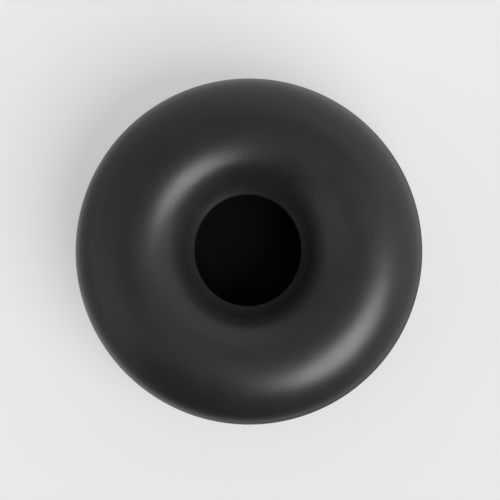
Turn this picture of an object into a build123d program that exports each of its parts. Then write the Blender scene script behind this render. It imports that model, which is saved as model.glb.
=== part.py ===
from build123d import *

import os
from math import asin, cos, degrees, radians, sin

# Donut vase: a hollow stoneware ring with a sunken mouth, made from two cast shells,
# a lip collar and a foot ring that are luted together, and felt pads under the foot.
# +Z is up, and the origin is the middle of the footprint, on the table.

# Driving dimensions, in millimetres and degrees
ring_diameter = 135.0      # circle along the middle of the hollow ring
tube_diameter = 65.0       # across the round section of the ring
wall = 5.0                 # thickness of the cast clay
throat_angle = 52.0        # up from level round the section, to the joint with the collar in the hollow
funnel_radius = 80.0       # of the collar's wall below the joint, a gentler curve than the ring's
funnel_angle = 6.8         # how much steeper the wall gets along that curve
lip_sweep_radius = 43.5    # of the collar's turn the other way, towards the mouth
lip_sweep_angle = 11.0     # how far the collar turns before its rounded edge
foot_diameter = 116.0      # circle along the middle of the foot ring
foot_width = 12.0          # of the foot ring where it meets the base
foot_height = 1.8          # from the pads up to the base
foot_taper = 0.6           # how far each side of the foot draws in towards the table
foot_edge_radius = 0.5     # rounding of the foot's lower edges
pad_diameter = 9.0
pad_thickness = 1.2
pad_edge_radius = 0.25
pad_count = 4
first_pad_angle = 45.0

# Levels and radii that follow from them
ring_radius = ring_diameter / 2
tube_radius = tube_diameter / 2
hollow_radius = tube_radius - wall
foot_radius = foot_diameter / 2
base_level = pad_thickness + foot_height
seam_level = base_level + tube_radius
throat_rise = hollow_radius * sin(radians(throat_angle))
section_middle = (ring_radius, seam_level)

# Angle above level of the line across the wall: at the joint, at the steepest place and at the lip
joint_slope = degrees(asin(throat_rise / tube_radius))
funnel_slope = joint_slope - funnel_angle
lip_slope = funnel_slope + lip_sweep_angle

os.makedirs("parts", exist_ok=True)

# Upper shell: the ring's section from the widest circle over the crest to the throat
with BuildPart() as upper_shell:
    with BuildSketch(Plane.XZ):
        with BuildLine():
            outside = CenterArc(section_middle, tube_radius, 0, 180 - joint_slope)
            inside = CenterArc(section_middle, hollow_radius, 0, 180 - throat_angle)
            Line(outside @ 0, inside @ 0)
            Line(outside @ 1, inside @ 1)
        make_face()
    revolve(axis=Axis.Z)

upper_shell.part.label = "upper_shell"
export_step(upper_shell.part, "parts/upper_shell.step")


# Mouth collar: leaves the ring's inner wall in line with it, runs down a gentler curve, sweeps
# towards the mouth the other way round, and ends in a lip rounded over the whole wall
def across_wall(middle, slope, reach):
    """The place at a reach from a middle, towards the axis and up at a slope."""
    return (middle[0] - reach * cos(radians(slope)), middle[1] + reach * sin(radians(slope)))


funnel_middle = across_wall(section_middle, joint_slope, tube_radius - funnel_radius)
sweep_middle = across_wall(funnel_middle, funnel_slope, funnel_radius + lip_sweep_radius)
lip_middle = across_wall(sweep_middle, lip_slope, -lip_sweep_radius - wall / 2)
lip_tip = across_wall(lip_middle, lip_slope - 90, wall / 2)

with BuildPart() as mouth_collar:
    with BuildSketch(Plane.XZ):
        with BuildLine():
            shown_funnel = CenterArc(funnel_middle, funnel_radius, 180 - joint_slope, funnel_angle)
            shown_sweep = CenterArc(sweep_middle, lip_sweep_radius, -funnel_slope, -lip_sweep_angle)
            under_ring = CenterArc(
                section_middle, hollow_radius, 180 - throat_angle, throat_angle - joint_slope
            )
            CenterArc(funnel_middle, funnel_radius - wall, 180 - joint_slope, funnel_angle)
            hidden_sweep = CenterArc(
                sweep_middle, lip_sweep_radius + wall, -funnel_slope, -lip_sweep_angle
            )
            ThreePointArc(shown_sweep @ 1, lip_tip, hidden_sweep @ 1)
            Line(shown_funnel @ 0, under_ring @ 0)
        make_face()
    revolve(axis=Axis.Z)

mouth_collar.part.label = "mouth_collar"
export_step(mouth_collar.part, "parts/mouth_collar.step")

# Lower shell: the ring's section below the widest circle, closed by a flat floor
with BuildPart() as lower_shell:
    with BuildSketch(Plane.XZ):
        with BuildLine():
            outside = CenterArc(section_middle, tube_radius, -90, 90)
            inside = CenterArc(section_middle, hollow_radius, -90, 90)
            Line(outside @ 1, inside @ 1)
            underside = Line(outside @ 0, (0, base_level))
            floor = Line(inside @ 0, (0, base_level + wall))
            Line(underside @ 1, floor @ 1)
        make_face()
    revolve(axis=Axis.Z)

lower_shell.part.label = "lower_shell"
export_step(lower_shell.part, "parts/lower_shell.step")

# Foot ring: tapered sides and rounded lower edges, flat against the base
with BuildPart() as foot_ring:
    with BuildSketch(Plane.XZ):
        with BuildLine():
            Polyline(
                (foot_radius - foot_width / 2, base_level),
                (foot_radius + foot_width / 2, base_level),
                (foot_radius + foot_width / 2 - foot_taper, pad_thickness),
                (foot_radius - foot_width / 2 + foot_taper, pad_thickness),
                close=True,
            )
        make_face()
    revolve(axis=Axis.Z)
    lower_edges = foot_ring.edges().group_by(Axis.Z)[0]
    fillet(lower_edges, foot_edge_radius)

foot_ring.part.label = "foot_ring"
export_step(foot_ring.part, "parts/foot_ring.step")

# Foot pads: felt discs on the flat of the foot ring
for number in range(pad_count):
    pad_angle = radians(first_pad_angle + number * 360 / pad_count)
    pad_name = f"foot_pad_{number + 1}"
    with BuildPart() as foot_pad:
        with BuildSketch():
            with Locations((foot_radius * cos(pad_angle), foot_radius * sin(pad_angle))):
                Circle(pad_diameter / 2)
        extrude(amount=pad_thickness)
        lower_rim = foot_pad.edges().group_by(Axis.Z)[0]
        fillet(lower_rim, pad_edge_radius)
    foot_pad.part.label = pad_name
    export_step(foot_pad.part, f"parts/{pad_name}.step")
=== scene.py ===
from math import asin, cos, pi, radians, sin, tan, tau

import bmesh
import bpy
from mathutils import Matrix, Vector, noise


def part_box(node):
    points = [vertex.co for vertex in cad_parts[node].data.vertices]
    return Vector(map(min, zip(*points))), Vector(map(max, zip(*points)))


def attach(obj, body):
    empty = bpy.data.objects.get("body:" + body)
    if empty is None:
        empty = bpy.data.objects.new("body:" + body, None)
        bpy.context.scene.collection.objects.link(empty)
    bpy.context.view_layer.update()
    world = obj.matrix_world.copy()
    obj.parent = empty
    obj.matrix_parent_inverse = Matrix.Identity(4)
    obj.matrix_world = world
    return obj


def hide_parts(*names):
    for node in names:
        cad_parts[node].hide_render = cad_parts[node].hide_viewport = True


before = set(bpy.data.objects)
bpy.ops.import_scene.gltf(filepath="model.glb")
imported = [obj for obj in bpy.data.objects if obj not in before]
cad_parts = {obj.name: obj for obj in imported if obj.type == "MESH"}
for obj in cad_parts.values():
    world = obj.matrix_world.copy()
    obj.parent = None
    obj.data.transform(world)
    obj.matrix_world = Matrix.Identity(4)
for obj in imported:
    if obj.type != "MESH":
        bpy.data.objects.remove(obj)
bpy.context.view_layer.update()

# Sizes in metres, from the frame and the cast wall
mm = 0.001
upper_low, upper_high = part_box("upper_shell")
foot_low, foot_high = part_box("foot_ring")
base_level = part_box("lower_shell")[0].z
throat_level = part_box("mouth_collar")[1].z

wall = 5.0 * mm
seam_level = upper_low.z
tube_radius = upper_high.z - seam_level
hollow_radius = tube_radius - wall
ring_radius = upper_high.x - tube_radius
section_middle = Vector((ring_radius, 0, seam_level))

# Angle above level of the line across the wall, at the collar's joint on the outside and in the hollow
joint_slope = asin((throat_level - seam_level) / tube_radius)
hollow_slope = asin((throat_level - seam_level) / hollow_radius)

# The collar's wall: a gentler curve down from the joint, then the other way towards the mouth
funnel_radius = 80.0 * mm
funnel_angle = radians(6.8)
lip_sweep_radius = 43.5 * mm
lip_sweep_angle = radians(11.0)

# The mouth is finished by hand: a little narrower from left to right than from front to back,
# off centre to the left, and higher towards the front left
mouth_squeeze = 0.024
mouth_shift = -0.65 * mm
mouth_raise = 0.5 * mm
mouth_lean = 1.0 * mm
lean_azimuth = radians(245)
bend_starts = 50.0 * mm    # radius from which this shows
bend_full = 36.0 * mm      # radius inside which it is whole

foot_outside = foot_high.x
foot_width = 12.0 * mm
foot_inside = foot_outside - foot_width
foot_taper = 0.6 * mm
foot_edge_radius = 0.5 * mm
pad_edge_radius = 0.25 * mm
pad_bulge = 0.2 * mm
pad_raggedness = 0.12 * mm
fibre_size = 0.6 * mm

# Steps of the meshes
turning_steps = 240
arc_end = 0.004            # share of an arc that the narrow step at each end takes
merge_distance = 0.001 * mm
sharp_angle = radians(35)


def direction(polar, azimuth):
    """The unit vector at an angle from straight up, on an azimuth from +X."""
    return Vector((sin(polar) * cos(azimuth), sin(polar) * sin(azimuth), cos(polar)))


# Colours and nodes
def colour(code):
    """Linear RGBA of an sRGB hex code."""
    parts = [int(code[place:place + 2], 16) / 255 for place in (1, 3, 5)]
    return [c / 12.92 if c <= 0.04045 else ((c + 0.055) / 1.055) ** 2.4 for c in parts] + [1.0]


def add(tree, kind, settings, links):
    """Adds a node. Settings give its properties and sockets, and links its sockets, by name or number."""
    made = tree.nodes.new(kind)
    for name, value in settings.items():
        if isinstance(name, str) and hasattr(made, name):
            setattr(made, name, value)
        else:
            made.inputs[name].default_value = value
    for name, socket in links.items():
        tree.links.new(socket, made.inputs[name])
    return made


def new_material(name, settings):
    """A material with its shader's constant values set, its node tree and that shader."""
    material = bpy.data.materials.new(name)
    material.use_nodes = True
    shader = material.node_tree.nodes["Principled BSDF"]
    for socket, value in settings.items():
        shader.inputs[socket].default_value = value
    return material, material.node_tree, shader


def satin_black_glaze():
    # Satin black glaze, sprayed on cast stoneware and fired: nearly black, with a broad soft highlight.
    # Its sheen drifts from place to place and is mottled by fine crystals. The orange peel that the spray
    # leaves is drawn a little deeper than it is, so that it shows near by.
    material, tree, shader = new_material("satin_black_glaze", {"IOR": 1.5})
    place = add(tree, "ShaderNodeTexCoord", {}, {}).outputs["Object"]
    drift = add(tree, "ShaderNodeTexNoise", {"Scale": 1 / (14 * mm), "Detail": 3.0}, {"Vector": place})
    tone = add(tree, "ShaderNodeMix", {
        "data_type": "RGBA", "A": colour("#1f1c1c"), "B": colour("#232020"),
    }, {"Factor": drift.outputs["Fac"]})
    sheen = add(tree, "ShaderNodeMapRange", {
        "From Min": 0.35, "From Max": 0.65, "To Min": 0.30, "To Max": 0.33,
    }, {"Value": drift.outputs["Fac"]})
    crystals = add(tree, "ShaderNodeTexNoise", {"Scale": 1 / (1.0 * mm), "Detail": 3.0}, {"Vector": place})
    mottled_sheen = add(tree, "ShaderNodeMath", {"operation": "MULTIPLY_ADD", 1: 0.14}, {
        0: crystals.outputs["Fac"], 2: sheen.outputs["Result"],
    })
    peel = add(tree, "ShaderNodeTexNoise", {"Scale": 1 / (1.5 * mm), "Detail": 2.0}, {"Vector": place})
    skin = add(tree, "ShaderNodeBump", {
        "Strength": 1.0, "Distance": 0.04 * mm,
    }, {"Height": peel.outputs["Fac"]})
    tree.links.new(tone.outputs["Result"], shader.inputs["Base Color"])
    tree.links.new(mottled_sheen.outputs[0], shader.inputs["Roughness"])
    tree.links.new(skin.outputs["Normal"], shader.inputs["Normal"])
    return material


def black_engobe():
    # Thin black engobe, poured through the inside and drained: dull and darker than the glaze.
    material, tree, shader = new_material("black_engobe", {"IOR": 1.45, "Specular IOR Level": 0.1})
    place = add(tree, "ShaderNodeTexCoord", {}, {}).outputs["Object"]
    cloud = add(tree, "ShaderNodeTexNoise", {"Scale": 1 / (9 * mm), "Detail": 5.0}, {"Vector": place})
    tone = add(tree, "ShaderNodeMix", {
        "data_type": "RGBA", "A": colour("#070707"), "B": colour("#0b0b0b"),
    }, {"Factor": cloud.outputs["Fac"]})
    dullness = add(tree, "ShaderNodeMapRange", {
        "To Min": 0.65, "To Max": 0.8,
    }, {"Value": cloud.outputs["Fac"]})
    tree.links.new(tone.outputs["Result"], shader.inputs["Base Color"])
    tree.links.new(dullness.outputs["Result"], shader.inputs["Roughness"])
    return material


def bare_stoneware():
    # Fired stoneware clay, wiped clean of glaze and turned flat: dry and grey-brown, with specks of grog
    # and the fine rings of the turning. The wave node makes 20 / tau rings to a unit at a scale of 1.
    material, tree, shader = new_material("bare_stoneware", {"Roughness": 0.85, "IOR": 1.5})
    place = add(tree, "ShaderNodeTexCoord", {}, {}).outputs["Object"]
    cloud = add(tree, "ShaderNodeTexNoise", {"Scale": 1 / (6 * mm), "Detail": 6.0}, {"Vector": place})
    patches = add(tree, "ShaderNodeMapRange", {
        "From Min": 0.35, "From Max": 0.65,
    }, {"Value": cloud.outputs["Fac"]})
    clay = add(tree, "ShaderNodeMix", {
        "data_type": "RGBA", "A": colour("#6f675d"), "B": colour("#8a8175"),
    }, {"Factor": patches.outputs["Result"]})
    grog = add(tree, "ShaderNodeTexNoise", {"Scale": 1 / (0.8 * mm), "Detail": 1.0}, {"Vector": place})
    speck = add(tree, "ShaderNodeMapRange", {
        "From Min": 0.66, "From Max": 0.72,
    }, {"Value": grog.outputs["Fac"]})
    speckled = add(tree, "ShaderNodeMix", {
        "data_type": "RGBA", "B": colour("#4a443d"),
    }, {"Factor": speck.outputs["Result"], "A": clay.outputs["Result"]})
    rings = add(tree, "ShaderNodeTexWave", {
        "wave_type": "RINGS", "rings_direction": "Z", "Scale": tau / 20 / (1.5 * mm), "Distortion": 1.5,
    }, {"Vector": place})
    marks = add(tree, "ShaderNodeBump", {
        "Strength": 1.0, "Distance": 0.15 * mm,
    }, {"Height": rings.outputs["Fac"]})
    tree.links.new(speckled.outputs["Result"], shader.inputs["Base Color"])
    tree.links.new(marks.outputs["Normal"], shader.inputs["Normal"])
    return material


def pressed_felt():
    # Pressed wool felt, die cut: a charcoal mat of fibres with a soft sheen at a glancing angle.
    material, tree, shader = new_material("pressed_felt", {
        "Roughness": 0.95, "Sheen Weight": 0.4, "Sheen Roughness": 0.5, "Specular IOR Level": 0.2,
    })
    place = add(tree, "ShaderNodeTexCoord", {}, {}).outputs["Object"]
    fibre = add(tree, "ShaderNodeTexNoise", {
        "Scale": 1 / fibre_size, "Detail": 4.0, "Distortion": 1.2,
    }, {"Vector": place})
    strands = add(tree, "ShaderNodeMapRange", {
        "From Min": 0.35, "From Max": 0.65,
    }, {"Value": fibre.outputs["Fac"]})
    tone = add(tree, "ShaderNodeMix", {
        "data_type": "RGBA", "A": colour("#2b2b2d"), "B": colour("#55555a"),
    }, {"Factor": strands.outputs["Result"]})
    nap = add(tree, "ShaderNodeBump", {
        "Strength": 1.0, "Distance": 0.25 * mm,
    }, {"Height": fibre.outputs["Fac"]})
    tree.links.new(tone.outputs["Result"], shader.inputs["Base Color"])
    tree.links.new(nap.outputs["Normal"], shader.inputs["Normal"])
    return material


glaze = satin_black_glaze()
engobe = black_engobe()
clay = bare_stoneware()
felt = pressed_felt()


# Turned pieces: a section in the XZ plane, swept about the upright axis
def sweep(section, vert, middle, angle, steps):
    """Carries a vertex about a middle, and leaves its arc with a narrow step at each end for true shading."""
    for share, count in ((arc_end, 1), (1 - 2 * arc_end, steps), (arc_end, 1)):
        arc = bmesh.ops.spin(
            section, geom=[vert], cent=middle, axis=(0, -1, 0), angle=angle * share, steps=count
        )
        vert = arc["geom_last"][0]
    return vert


def run(section, vert, x, z):
    """Draws a straight edge from a vertex to a place in the section, and returns its end."""
    end = bmesh.ops.extrude_vert_indiv(section, verts=[vert])["verts"][0]
    end.co = (x, 0, z)
    return end


def turn(section):
    """Sweeps a section once round the upright axis to a closed skin that faces outwards."""
    bmesh.ops.spin(
        section, geom=section.verts[:] + section.edges[:], cent=(0, 0, 0), axis=(0, 0, 1),
        angle=tau, steps=turning_steps, use_merge=True,
    )
    bmesh.ops.remove_doubles(section, verts=section.verts, dist=merge_distance)
    bmesh.ops.recalc_face_normals(section, faces=section.faces)


def bend_mouth(shape):
    """Gives the mouth its slightly uneven form, and leaves the ring round."""
    lean_way = direction(pi / 2, lean_azimuth)
    for vert in shape.verts:
        depth = (bend_starts - vert.co.xy.length) / (bend_starts - bend_full)
        depth = min(max(depth, 0.0), 1.0)
        share = depth * depth * (3 - 2 * depth)
        lean = lean_way.dot(vert.co) / vert.co.xy.length
        vert.co.z += (mouth_raise + mouth_lean * lean) * share
        vert.co.x *= 1 - mouth_squeeze * share
        vert.co.y *= 1 + mouth_squeeze * share
        vert.co.x += mouth_shift * share


def in_hollow(face):
    """True for a face on the inner side of the wall, or of the floor."""
    place = face.calc_center_median()
    reach = Vector((place.xy.length - ring_radius, place.z - seam_level))
    if place.xy.length < ring_radius and place.z < seam_level - tube_radius / 2:
        return place.z > base_level + wall / 2
    return reach.length < tube_radius - wall / 2


def finish_piece(shape, node, materials):
    """Shades a shape, and makes it the piece that stands for a node."""
    for face in shape.faces:
        face.smooth = True
        face.material_index = 1 if len(materials) > 1 and in_hollow(face) else 0
    for edge in shape.edges:
        edge.smooth = edge.calc_face_angle(0) < sharp_angle
    mesh = bpy.data.meshes.new("visual_" + node)
    shape.to_mesh(mesh)
    shape.free()
    for material in materials:
        mesh.materials.append(material)
    piece = bpy.data.objects.new("visual_" + node, mesh)
    bpy.context.scene.collection.objects.link(piece)
    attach(piece, "root")
    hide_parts(node)
    return piece


# Upper shell: over the crest from the widest circle to the throat, and back along the hollow
shape = bmesh.new()
rim = shape.verts.new((ring_radius + tube_radius, 0, seam_level))
throat = sweep(shape, rim, section_middle, pi - joint_slope, 110)
hollow_edge = run(shape, throat, ring_radius - hollow_radius * cos(hollow_slope), throat_level)
hollow_rim = sweep(shape, hollow_edge, section_middle, hollow_slope - pi, 70)
shape.edges.new((hollow_rim, rim))
turn(shape)
bend_mouth(shape)
upper_shell = finish_piece(shape, "upper_shell", [glaze, engobe])


# Mouth collar: on from the throat in a wider curve, then the other way towards the mouth,
# round the lip and back
def across_wall(slope):
    """The direction out of the funnel's wall, at an angle above level."""
    return Vector((-cos(slope), 0, sin(slope)))


funnel_slope = joint_slope - funnel_angle
lip_slope = funnel_slope + lip_sweep_angle
funnel_middle = section_middle - across_wall(joint_slope) * (funnel_radius - tube_radius)
sweep_middle = funnel_middle + across_wall(funnel_slope) * (funnel_radius + lip_sweep_radius)
lip_middle = sweep_middle - across_wall(lip_slope) * (lip_sweep_radius + wall / 2)
shape = bmesh.new()
throat = shape.verts.new(section_middle + across_wall(joint_slope) * tube_radius)
funnel_end = sweep(shape, throat, funnel_middle, funnel_angle, 24)
lip_start = sweep(shape, funnel_end, sweep_middle, -lip_sweep_angle, 24)
lip_end = sweep(shape, lip_start, lip_middle, pi, 28)
back_end = sweep(shape, lip_end, sweep_middle, lip_sweep_angle, 16)
neck = sweep(shape, back_end, funnel_middle, -funnel_angle, 16)
joint = sweep(shape, neck, section_middle, joint_slope - hollow_slope, 8)
shape.edges.new((joint, throat))
turn(shape)
bend_mouth(shape)
mouth_collar = finish_piece(shape, "mouth_collar", [glaze])

# Lower shell: down from the widest circle to the flat base, and back over the floor
shape = bmesh.new()
rim = shape.verts.new((ring_radius + tube_radius, 0, seam_level))
base_edge = sweep(shape, rim, section_middle, -pi / 2, 60)
base_middle = run(shape, base_edge, 0, base_level)
floor_middle = run(shape, base_middle, 0, base_level + wall)
floor_edge = run(shape, floor_middle, ring_radius, base_level + wall)
hollow_rim = sweep(shape, floor_edge, section_middle, pi / 2, 40)
shape.edges.new((hollow_rim, rim))
turn(shape)
lower_shell = finish_piece(shape, "lower_shell", [glaze, engobe])

# Foot ring: tapered sides and rounded lower edges
shape = bmesh.new()
outer_top = shape.verts.new((foot_outside, 0, foot_high.z))
outer_foot = run(shape, outer_top, foot_outside - foot_taper, foot_low.z)
inner_foot = run(shape, outer_foot, foot_inside + foot_taper, foot_low.z)
inner_top = run(shape, inner_foot, foot_inside, foot_high.z)
shape.edges.new((inner_top, outer_top))
turn(shape)
lower_edges = [
    edge for edge in shape.edges
    if edge.calc_face_angle(0) > sharp_angle and edge.verts[0].co.z < foot_low.z + foot_edge_radius
]
bmesh.ops.bevel(
    shape, geom=lower_edges, offset=foot_edge_radius, offset_type="OFFSET", affect="EDGES",
    segments=4, profile=0.5, material=-1,
)
foot_ring = finish_piece(shape, "foot_ring", [clay])


# Foot pads: felt discs, bulged at the middle of their thickness and ragged at the cut edge
def rise(edge):
    """How far an edge climbs."""
    return abs(edge.verts[0].co.z - edge.verts[1].co.z)


def foot_pad(node):
    """The felt disc that stands for one pad's node."""
    low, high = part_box(node)
    middle = (low + high) / 2
    radius = (high.x - low.x) / 2 - pad_bulge
    thickness = high.z - low.z
    shape = bmesh.new()
    bmesh.ops.create_cone(
        shape, cap_ends=True, segments=64, radius1=radius, radius2=radius, depth=thickness,
        matrix=Matrix.Translation(middle),
    )
    rims = [edge for edge in shape.edges if rise(edge) < thickness / 2]
    bmesh.ops.bevel(
        shape, geom=rims, offset=pad_edge_radius, offset_type="OFFSET", affect="EDGES",
        segments=3, profile=0.5, material=-1,
    )
    upright = [edge for edge in shape.edges if rise(edge) > thickness / 3]
    bmesh.ops.subdivide_edges(shape, edges=upright, cuts=3, use_grid_fill=True)
    for vert in shape.verts:
        across = vert.co - middle
        height = 2 * across.z / thickness
        raggedness = pad_raggedness * abs(noise.noise(vert.co / fibre_size))
        outwards = Vector((across.x, across.y, 0)).normalized()
        vert.co += outwards * (pad_bulge * (1 - height * height) - raggedness)
    bmesh.ops.recalc_face_normals(shape, faces=shape.faces)
    pad = finish_piece(shape, node, [felt])
    return pad


pads = [foot_pad(f"foot_pad_{number}") for number in range(1, 5)]


# Floor: a pale round sheet. The camera and reflections see part of its colour without shade, so that it
# looks the same all over, and the rest takes the light, and with it the shadow. Under the vase all of it
# takes the light.
def stage_part(shape, name, finish):
    """Makes a shape a part of the studio. Its material's node tree is still empty."""
    mesh = bpy.data.meshes.new(name)
    shape.to_mesh(mesh)
    shape.free()
    part = bpy.data.objects.new(name, mesh)
    bpy.context.scene.collection.objects.link(part)
    material = bpy.data.materials.new(finish)
    material.use_nodes = True
    material.cycles.emission_sampling = "NONE"
    material.node_tree.nodes.clear()
    mesh.materials.append(material)
    return part, material.node_tree


def shown_rays(tree):
    """A socket that is 1 for what the camera and reflections look at, and 0 for the light on a surface."""
    rays = add(tree, "ShaderNodeLightPath", {}, {}).outputs
    seen = add(tree, "ShaderNodeMath", {"operation": "MAXIMUM"}, {
        0: rays["Is Camera Ray"], 1: rays["Is Glossy Ray"],
    })
    return add(tree, "ShaderNodeMath", {"operation": "MAXIMUM"}, {
        0: seen.outputs[0], 1: rays["Is Transmission Ray"],
    }).outputs[0]


floor_colour = colour("#e8e8e6")
floor_reach = 2.35
unshaded_share = 0.55
shape = bmesh.new()
bmesh.ops.create_circle(shape, cap_ends=True, segments=96, radius=floor_reach)
floor, tree = stage_part(shape, "floor", "pale_paper")
place = add(tree, "ShaderNodeTexCoord", {}, {}).outputs["Object"]
reach = add(tree, "ShaderNodeVectorMath", {"operation": "LENGTH"}, {0: place})
open_floor = add(tree, "ShaderNodeMapRange", {
    "interpolation_type": "SMOOTHSTEP", "From Min": foot_outside, "From Max": upper_high.x,
    "To Max": unshaded_share,
}, {"Value": reach.outputs["Value"]})
share = add(tree, "ShaderNodeMath", {"operation": "MULTIPLY"}, {
    0: shown_rays(tree), 1: open_floor.outputs["Result"],
})
matt = add(tree, "ShaderNodeBsdfDiffuse", {"Color": floor_colour}, {})
plain = add(tree, "ShaderNodeEmission", {"Color": floor_colour, "Strength": 1.0}, {})
paper = add(tree, "ShaderNodeMixShader", {}, {0: share.outputs[0], 1: matt.outputs[0], 2: plain.outputs[0]})
add(tree, "ShaderNodeOutputMaterial", {}, {"Surface": paper.outputs[0]})

# Surroundings: pale walls
studio = bpy.data.worlds.new("studio")
bpy.context.scene.world = studio
studio.use_nodes = True
studio.node_tree.nodes["Background"].inputs["Color"].default_value = colour("#e2e2e0")


# The rest of the studio, hidden from the camera: a dark curtain in front, a grey ceiling and a grey wall
# behind, which glow with a fixed shade of their own. Three covers lie on the floor, and show in the glaze
# alone,
# as painted reflections: painted shade by the vase, which gives the outline its dark edge on the right and in
# front, and further out a grey sheet, strongest towards the front left, and a dark sheet in front.
def cap(way, spread, radius):
    """The part of a sphere round the vase that lies within an angle of one direction."""
    shape = bmesh.new()
    bmesh.ops.create_uvsphere(shape, u_segments=64, v_segments=32, radius=radius)
    bmesh.ops.bisect_plane(
        shape, geom=shape.verts[:] + shape.edges[:] + shape.faces[:], plane_co=way * radius * cos(spread),
        plane_no=way, clear_inner=True,
    )
    return shape


def hidden_part(shape, name, shade):
    """Makes a shape a part of the studio that glows with an even shade, which the camera doesn't see."""
    part, tree = stage_part(shape, name, name + "_shade")
    part.visible_camera = False
    part.visible_shadow = False
    plain = add(tree, "ShaderNodeEmission", {"Color": colour(shade), "Strength": 1.0}, {})
    add(tree, "ShaderNodeOutputMaterial", {}, {"Surface": plain.outputs[0]})
    return part


def floor_cover(name, shade, inside, outside, level, azimuth, none, full):
    """A flat, glowing ring on the floor that only the glaze shows, as a painted reflection. It is strongest
    on the side of one azimuth, and fades out as the cosine to that azimuth falls from full to none, and at
    its outer edge."""
    shape = bmesh.new()
    near = shape.verts.new((inside, 0, level))
    far = shape.verts.new((outside, 0, level))
    edge = shape.edges.new((near, far))
    bmesh.ops.spin(
        shape, geom=[near, far, edge], cent=(0, 0, 0), axis=(0, 0, 1), angle=tau, steps=96, use_merge=True
    )
    bmesh.ops.remove_doubles(shape, verts=shape.verts, dist=merge_distance)
    part = hidden_part(shape, name, shade)
    part.visible_diffuse = False
    tree = part.active_material.node_tree
    place = add(tree, "ShaderNodeTexCoord", {}, {}).outputs["Object"]
    side = add(tree, "ShaderNodeVectorMath", {"operation": "NORMALIZE"}, {0: place})
    cosine = add(tree, "ShaderNodeVectorMath", {
        "operation": "DOT_PRODUCT", 1: direction(pi / 2, azimuth),
    }, {0: side.outputs["Vector"]})
    side_share = add(tree, "ShaderNodeMapRange", {
        "interpolation_type": "SMOOTHSTEP", "From Min": none, "From Max": full,
    }, {"Value": cosine.outputs["Value"]})
    reach = add(tree, "ShaderNodeVectorMath", {"operation": "LENGTH"}, {0: place})
    edge_share = add(tree, "ShaderNodeMapRange", {
        "interpolation_type": "SMOOTHSTEP", "From Min": outside, "From Max": outside - soft_edge,
    }, {"Value": reach.outputs["Value"]})
    share = add(tree, "ShaderNodeMath", {"operation": "MULTIPLY"}, {
        0: side_share.outputs["Result"], 1: edge_share.outputs["Result"],
    })
    clear = add(tree, "ShaderNodeBsdfTransparent", {}, {})
    faded = add(tree, "ShaderNodeMixShader", {}, {
        0: share.outputs[0], 1: clear.outputs[0], 2: tree.nodes["Emission"].outputs[0],
    })
    tree.links.new(faded.outputs[0], tree.nodes["Material Output"].inputs["Surface"])


curtain_reach = 2.4
ceiling_reach = 2.5
wall_reach = 2.6
# The grey and the dark painted reflections on the floor start at this radius
outer_reflections_start = 145 * mm
# The painted shade by the vase, seen only in the glaze, lies between these two radii
contact_shade_starts = 60 * mm
contact_shade_ends = 135 * mm
soft_edge = 20 * mm
curtain_way = direction(radians(78), radians(281))
ceiling_way = direction(radians(6), radians(60))
wall_way = direction(radians(58), radians(138))
curtain = cap(curtain_way, spread=radians(60), radius=curtain_reach)
ceiling = cap(ceiling_way, spread=radians(38), radius=ceiling_reach)
back_wall = cap(wall_way, spread=radians(29), radius=wall_reach)
hidden_part(curtain, "dark_curtain", "#2a2a2a")
hidden_part(ceiling, "grey_ceiling", "#979797")
hidden_part(back_wall, "grey_wall", "#b6b6b6")
# Painted shade: a dark ring by the vase that only the glaze reflects, strongest on the right and in front
floor_cover(
    "painted_contact_shade", "#1a1a1a", inside=contact_shade_starts, outside=contact_shade_ends, level=0.2 * mm,
    azimuth=radians(340), none=-0.6, full=0.9,
)
# Painted reflection: a grey ring that only the glaze shows, strongest towards the front left
floor_cover(
    "painted_grey_reflection", "#a6a6a6", inside=outer_reflections_start, outside=curtain_reach, level=0.3 * mm,
    azimuth=radians(240), none=-1.2, full=0.2,
)
# Painted reflection: a dark ring in front that only the glaze shows
floor_cover(
    "painted_dark_reflection", "#1a1a1a", inside=outer_reflections_start, outside=curtain_reach, level=0.6 * mm,
    azimuth=radians(270), none=0.5, full=1.05,
)


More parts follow.
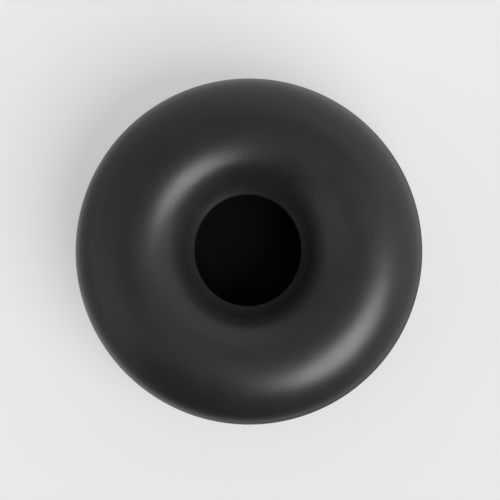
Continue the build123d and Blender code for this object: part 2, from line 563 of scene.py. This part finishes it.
# Key light: an oval softbox near the vase, for the vase alone. A sun from the same side lights the floor.
def light(name, kind, way, distance, roll, only):
    """A lamp that faces the middle of the vase from a distance, and lights only some objects."""
    data = bpy.data.lights.new(name, kind)
    lamp = bpy.data.objects.new(name, data)
    turned = way.to_track_quat("Z", "Y").to_matrix().to_4x4() @ Matrix.Rotation(roll, 4, "Z")
    lamp.matrix_world = Matrix.Translation(vase_middle + way * distance) @ turned
    bpy.context.scene.collection.objects.link(lamp)
    lit = bpy.data.collections.new("lit_by_" + name)
    for lit_object in only:
        lit.objects.link(lit_object)
    lamp.light_linking.receiver_collection = lit
    return data


vase_middle = Vector((0, 0, seam_level))
vase = [upper_shell, lower_shell, mouth_collar, foot_ring] + pads
key_way = direction(radians(45.9), radians(315.9))
key_distance = 0.52
key_roll = radians(14)
key_level = 3.40
key_spread = radians(39.5)
key_width = 2 * key_distance * tan(key_spread / 2)
key_stretch = 1.14
softbox = light("softbox", "AREA", key_way, distance=key_distance, roll=key_roll, only=vase)
softbox.shape = "ELLIPSE"
softbox.size = key_width * key_stretch
softbox.size_y = key_width / key_stretch
softbox.energy = key_level * pi * key_distance ** 2

sun_polar = radians(48)
sun_way = direction(sun_polar, radians(311))
sun_level = 0.70
floor_sun = light("floor_sun", "SUN", sun_way, distance=2.0, roll=0.0, only=[floor])
floor_sun.angle = radians(55)
floor_sun.energy = sun_level * pi / cos(sun_polar)

# Camera: nearly straight above, with the vase's outline at its size and place in the picture, in pixels
picture_width = 500
picture_middle = picture_width / 2
outline_radius = 173.2
outline_x, outline_y = 248.90, 250.93
camera_height = 1.3
camera_lean = 0.065
pixel = upper_high.x / outline_radius
aim = vase_middle + Vector((picture_middle - outline_x, outline_y - picture_middle, 0)) * pixel
eye = vase_middle + Vector((0, -camera_lean, 1)) * camera_height
backwards = (eye - aim).normalized()
right = Vector((0, 1, 0)).cross(backwards).normalized()
up = backwards.cross(right)
camera_data = bpy.data.cameras.new("camera")
camera_data.sensor_width = 36.0
camera_data.lens = camera_data.sensor_width * (eye - aim).length / (picture_width * pixel)
camera = bpy.data.objects.new("camera", camera_data)
camera.matrix_world = Matrix.Translation(eye) @ Matrix((right, up, backwards)).transposed().to_4x4()
bpy.context.scene.collection.objects.link(camera)
bpy.context.scene.camera = camera
bpy.context.scene.view_settings.view_transform = "Standard"
